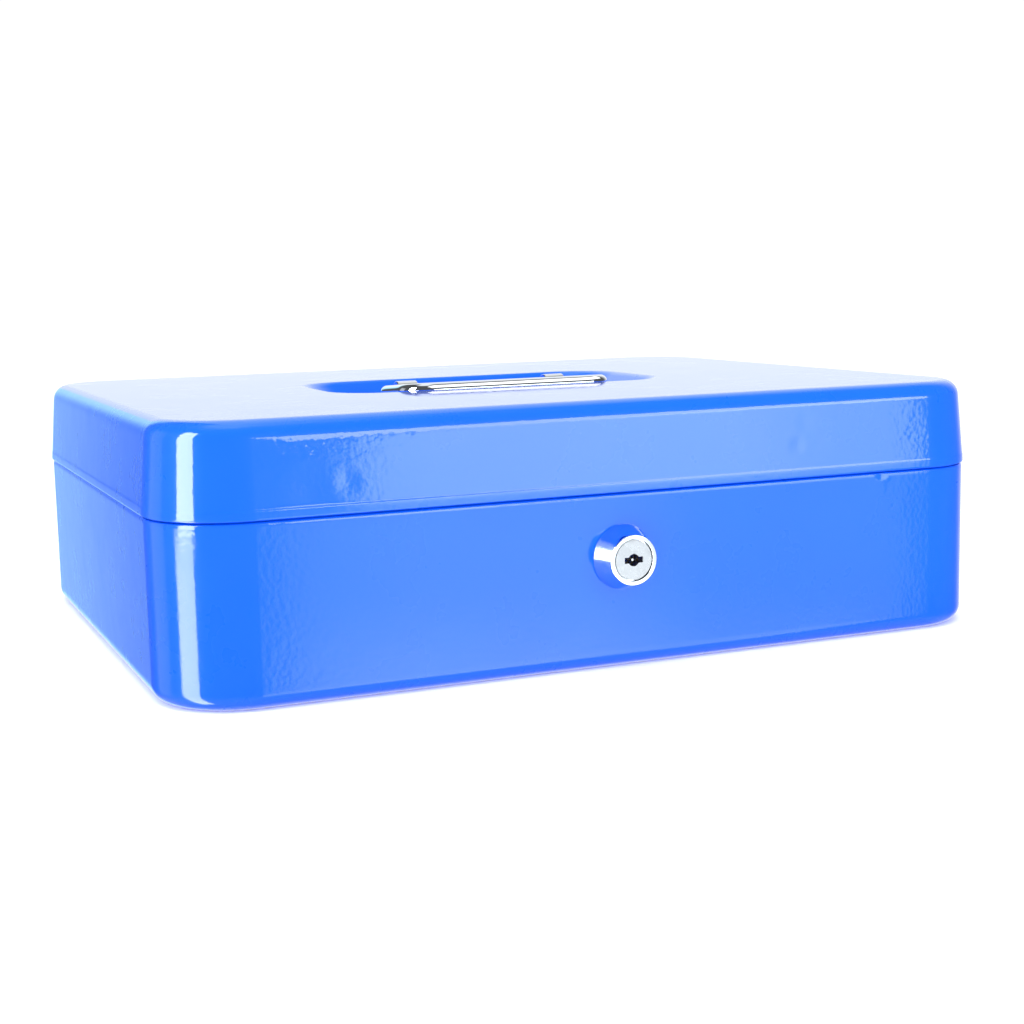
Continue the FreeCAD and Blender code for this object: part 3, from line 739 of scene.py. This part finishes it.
class CASHBOX_OT_tray(bpy.types.Operator):
    """Lift-out coin tray and the brackets that carry it"""

    bl_idname = "cashbox.tray"
    bl_label = "Coin tray"

    def execute(self, context):
        soften("coin_tray", 0.5 * MM, 40)
        dress_node("coin_tray", tray_plastic())
        for side in ("left", "right"):
            soften("tray_bracket_" + side, 0.2 * MM)
            dress_node("tray_bracket_" + side, enamel())
        return {"FINISHED"}


# ---- studio
PLATED = ("handle_wire", "handle_clip_left", "handle_clip_right")
ENAMELLED = ("lid_body", "base_body")
# Lights that only glossy rays see, in degrees; azimuth runs from the front toward the right. A row of either
# table is: azimuth from and to, its edge, lower elevation and edge, upper elevation and edge, how far the
# upper elevation rises per degree of azimuth, and strength.
PANELS = (
    (17.7, 36.6, 1.20, -3.0, 3.0, 3.6, 0.16, 0.36, 3.5),        # big front softbox, seen in the lid
    (17.3, 32.5, 5.00, -3.0, 3.0, 3.6, 0.16, 0.36, 1.1),        # its brighter left part
    (15.0, 36.6, 1.20, -30.0, 3.0, -3.0, 3.0, 0.0, 1.0),        # table light, seen in the base
    (16.5, 28.0, 5.00, -30.0, 3.0, -6.0, 3.0, 0.0, 0.9),        # its brighter left part
    (15.5, 36.0, 3.00, -34.0, 3.0, -12.5, 2.0, 0.0, 1.3),       # its brighter foot
)
STRIPS = (
    (-86.0, -62.0, 1.4, -8.5, 0.8, 43.0, 2.0, 0.0, 16.0),       # tall strip on the left
    (-92.0, -66.0, 3.0, -60.0, 3.0, -8.5, 1.2, 0.0, 10.5),      # its lower end
    (-140.0, -112.0, 5.0, -24.0, 4.0, 26.0, 6.0, 0.0, 0.5),     # card on the far left
)


class CASHBOX_OT_studio(bpy.types.Operator):
    """Pale floor, soft lights and camera"""

    bl_idname = "cashbox.studio"
    bl_label = "Studio"

    def execute(self, context):
        self.floor()
        self.world()
        self.lights()
        self.camera()
        context.scene.view_settings.view_transform = "Standard"
        return {"FINISHED"}

    def floor(self):
        settings = bpy.context.scene.cash_box_studio
        bm = bmesh.new()
        bmesh.ops.create_grid(bm, x_segments=12, y_segments=12, size=6.0)
        floor = finish_mesh("studio_floor", bm)
        n = Nodes("pale_floor")
        colour = tuple(settings.floor)
        n.feed(Base_Color=n.shades(n.noise(3.0), (0.3, scaled(colour, 0.995)), (0.7, colour)))
        n.feed(Roughness=n.spread(n.noise(40.0), 0.3, 0.7, 0.55, 0.65))
        n.set(Specular_IOR_Level=0.1, Emission_Color=(1, 1, 1, 1), Emission_Strength=0.16)
        dress(floor, n.material)
        floor.visible_glossy = False

    def world(self):
        settings = bpy.context.scene.cash_box_studio
        world = bpy.data.worlds.new("studio")
        bpy.context.scene.world = world
        world.use_nodes = True
        tree = world.node_tree
        tree.nodes.clear()

        def maths(operation, a, b=None, c=None):
            node = tree.nodes.new("ShaderNodeMath")
            node.operation = operation
            for socket, value in zip(node.inputs, (a, b, c)):
                if value is None:
                    continue
                if isinstance(value, (int, float)):
                    socket.default_value = value
                else:
                    tree.links.new(value, socket)
            return node.outputs[0]

        def rise(value, low, high):
            node = tree.nodes.new("ShaderNodeMapRange")
            node.interpolation_type = "SMOOTHSTEP"
            node.inputs["From Min"].default_value = low
            node.inputs["From Max"].default_value = high
            tree.links.new(value, node.inputs["Value"])
            return node.outputs["Result"]

        def fall(value, low, high):
            return maths("SUBTRACT", 1.0, rise(value, low, high))

        direction = tree.nodes.new("ShaderNodeSeparateXYZ")
        tree.links.new(tree.nodes.new("ShaderNodeTexCoord").outputs["Generated"], direction.inputs[0])
        x, y, z = direction.outputs
        azimuth = maths("DEGREES", maths("ARCTAN2", x, maths("MULTIPLY", y, -1.0)))
        elevation = maths("DEGREES", maths("ARCSINE", z))
        # what glossy rays see is bright behind and overhead, about half as bright below, and dim elsewhere
        foot_share, dim = 0.45, 0.10
        room = maths("MAXIMUM", rise(azimuth, 95.0, 140.0), rise(elevation, 66.0, 80.0))
        room = maths("MAXIMUM", room, maths("MULTIPLY", fall(elevation, -38.0, -17.0), foot_share))
        room = maths("ADD", room, dim)
        # low and straight behind, a stronger blue comes on top
        side = maths("MULTIPLY", fall(azimuth, -176.0, -166.5), fall(elevation, 20.0, 40.0))

        def lit(panels, total):
            """The total with the panels' light added."""
            for a0, a1, a_edge, e0, e0_edge, e1, e1_edge, tilt, strength in panels:
                lifted = maths("MULTIPLY_ADD", maths("SUBTRACT", azimuth, a0), -tilt, elevation)
                across = maths("MULTIPLY", rise(azimuth, a0 - a_edge, a0 + a_edge),
                               fall(azimuth, a1 - a_edge / 2, a1 + a_edge / 2))
                high = maths("MULTIPLY", rise(elevation, e0 - e0_edge, e0 + e0_edge),
                             fall(lifted, e1 - e1_edge, e1 + e1_edge))
                total = maths("MULTIPLY_ADD", maths("MULTIPLY", across, high), strength, total)
            return total

        room = lit(STRIPS, room)
        front = lit(PANELS, 0.0)
        path = tree.nodes.new("ShaderNodeLightPath")
        glossy = tree.nodes.new("ShaderNodeAddShader")
        both = tree.nodes.new("ShaderNodeAddShader")
        tree.links.new(both.outputs[0], glossy.inputs[1])
        for target, strength, colour in ((glossy.inputs[0], room, (0.89, 0.94, 1.0, 1)),
                                         (both.inputs[0], front, (0.86, 0.99, 1.08, 1)),
                                         (both.inputs[1], side, (0.60, 1.04, 1.22, 1))):
            part = tree.nodes.new("ShaderNodeBackground")
            part.inputs["Color"].default_value = colour
            tree.links.new(strength, part.inputs["Strength"])
            tree.links.new(part.outputs[0], target)

        def even(strength):
            node = tree.nodes.new("ShaderNodeBackground")
            node.inputs["Color"].default_value = (1, 1, 1, 1)
            node.inputs["Strength"].default_value = strength
            return node

        plain, seen = even(settings.dome), even(settings.backdrop)
        first = tree.nodes.new("ShaderNodeMixShader")
        second = tree.nodes.new("ShaderNodeMixShader")
        tree.links.new(path.outputs["Is Glossy Ray"], first.inputs[0])
        tree.links.new(plain.outputs[0], first.inputs[1])
        tree.links.new(glossy.outputs[0], first.inputs[2])
        tree.links.new(path.outputs["Is Camera Ray"], second.inputs[0])
        tree.links.new(first.outputs[0], second.inputs[1])
        tree.links.new(seen.outputs[0], second.inputs[2])
        out = tree.nodes.new("ShaderNodeOutputWorld")
        tree.links.new(second.outputs[0], out.inputs["Surface"])

    def lights(self):
        for name, place, size, power in (("overhead_soft", (-0.15, -0.1, 1.3), 1.4, 9.0),
                                         ("front_soft", (0.7, -1.4, 0.7), 0.9, 5.0),
                                         ("left_soft", (-1.3, 0.1, 0.5), 0.9, 7.0)):
            data = bpy.data.lights.new(name, "AREA")
            data.shape = "DISK"
            data.size = size
            data.energy = power
            light = bpy.data.objects.new(name, data)
            light.location = place
            light.rotation_euler = (-Vector(place)).to_track_quat("-Z", "Y").to_euler()
            light.visible_glossy = False
            bpy.context.scene.collection.objects.link(light)
        # a large card above the front that only the bright plating mirrors
        self.card("plating_card", (0.54, -0.46, 0.90), (0, -0.02, 0.09), (1.5, 0.66), 4.8, PLATED)
        # a long low strip light, seen as a thin line along the lid's bend and the base's shoulder
        strip = self.card("edge_strip", (0.66, -1.45, 0.345), (0, -0.128, 0.08), (0.84, 0.20), 3.4, ENAMELLED)
        strip.data.diffuse_factor = 0.0
        strip.rotation_euler.rotate_axis("Z", math.radians(8))

    def card(self, name, place, target, size, power, pieces):
        """Area light that lights, and is mirrored in, the named pieces alone."""
        data = bpy.data.lights.new(name, "AREA")
        data.shape = "RECTANGLE"
        data.size, data.size_y = size
        data.energy = power
        card = bpy.data.objects.new(name, data)
        card.location = place
        card.rotation_euler = (Vector(target) - Vector(place)).to_track_quat("-Z", "Y").to_euler()
        bpy.context.scene.collection.objects.link(card)
        receivers = bpy.data.collections.new(name + "_receivers")
        for piece in pieces:
            receivers.objects.link(bpy.data.objects[piece])
        card.light_linking.receiver_collection = receivers
        return card

    def camera(self):
        settings = bpy.context.scene.cash_box_studio
        yaw, pitch, roll = settings.camera_turn
        ahead = Vector((math.sin(yaw) * math.cos(pitch), math.cos(yaw) * math.cos(pitch), -math.sin(pitch)))
        right = ahead.cross(Vector((0, 0, 1))).normalized()
        up = right.cross(ahead)
        level_right = right * math.cos(roll) + up * math.sin(roll)
        level_up = up * math.cos(roll) - right * math.sin(roll)
        data = bpy.data.cameras.new("camera")
        data.lens = settings.lens / MM
        data.sensor_width = 36.0
        data.clip_start = 0.01
        data.clip_end = 50
        camera = bpy.data.objects.new("camera", data)
        bpy.context.scene.collection.objects.link(camera)
        turn = Matrix((level_right, level_up, -ahead)).transposed().to_4x4()
        camera.matrix_world = Matrix.Translation(Vector(settings.camera_place)) @ turn
        bpy.context.scene.camera = camera


OPERATORS = (CASHBOX_OT_base, CASHBOX_OT_lid, CASHBOX_OT_handle, CASHBOX_OT_lock, CASHBOX_OT_hinges,
             CASHBOX_OT_tray, CASHBOX_OT_studio)


class CASHBOX_PT_sidebar(bpy.types.Panel):
    """Lists the pieces of the cash box"""

    bl_idname = "CASHBOX_PT_sidebar"
    bl_label = "Cash Box"
    bl_space_type = "VIEW_3D"
    bl_region_type = "UI"
    bl_category = "Cash Box"

    def draw(self, context):
        for operator in OPERATORS:
            self.layout.operator(operator.bl_idname)


GROUPS = (("cash_box_sizes", CashBoxSizes), ("cash_box_finishes", CashBoxFinishes),
          ("cash_box_studio", CashBoxStudio))


def register():
    for name, group in GROUPS:
        bpy.utils.register_class(group)
        setattr(bpy.types.Scene, name, PointerProperty(type=group))
    for cls in OPERATORS + (CASHBOX_PT_sidebar,):
        bpy.utils.register_class(cls)


def unregister():
    for cls in (CASHBOX_PT_sidebar,) + OPERATORS[::-1]:
        bpy.utils.unregister_class(cls)
    for name, group in GROUPS[::-1]:
        delattr(bpy.types.Scene, name)
        bpy.utils.unregister_class(group)


def main():
    register()
    bpy.ops.cashbox.base()
    bpy.ops.cashbox.lid()
    bpy.ops.cashbox.handle()
    bpy.ops.cashbox.lock()
    bpy.ops.cashbox.hinges()
    bpy.ops.cashbox.tray()
    bpy.ops.cashbox.studio()
    bpy.context.view_layer.update()


if __name__ == "__main__":
    main()
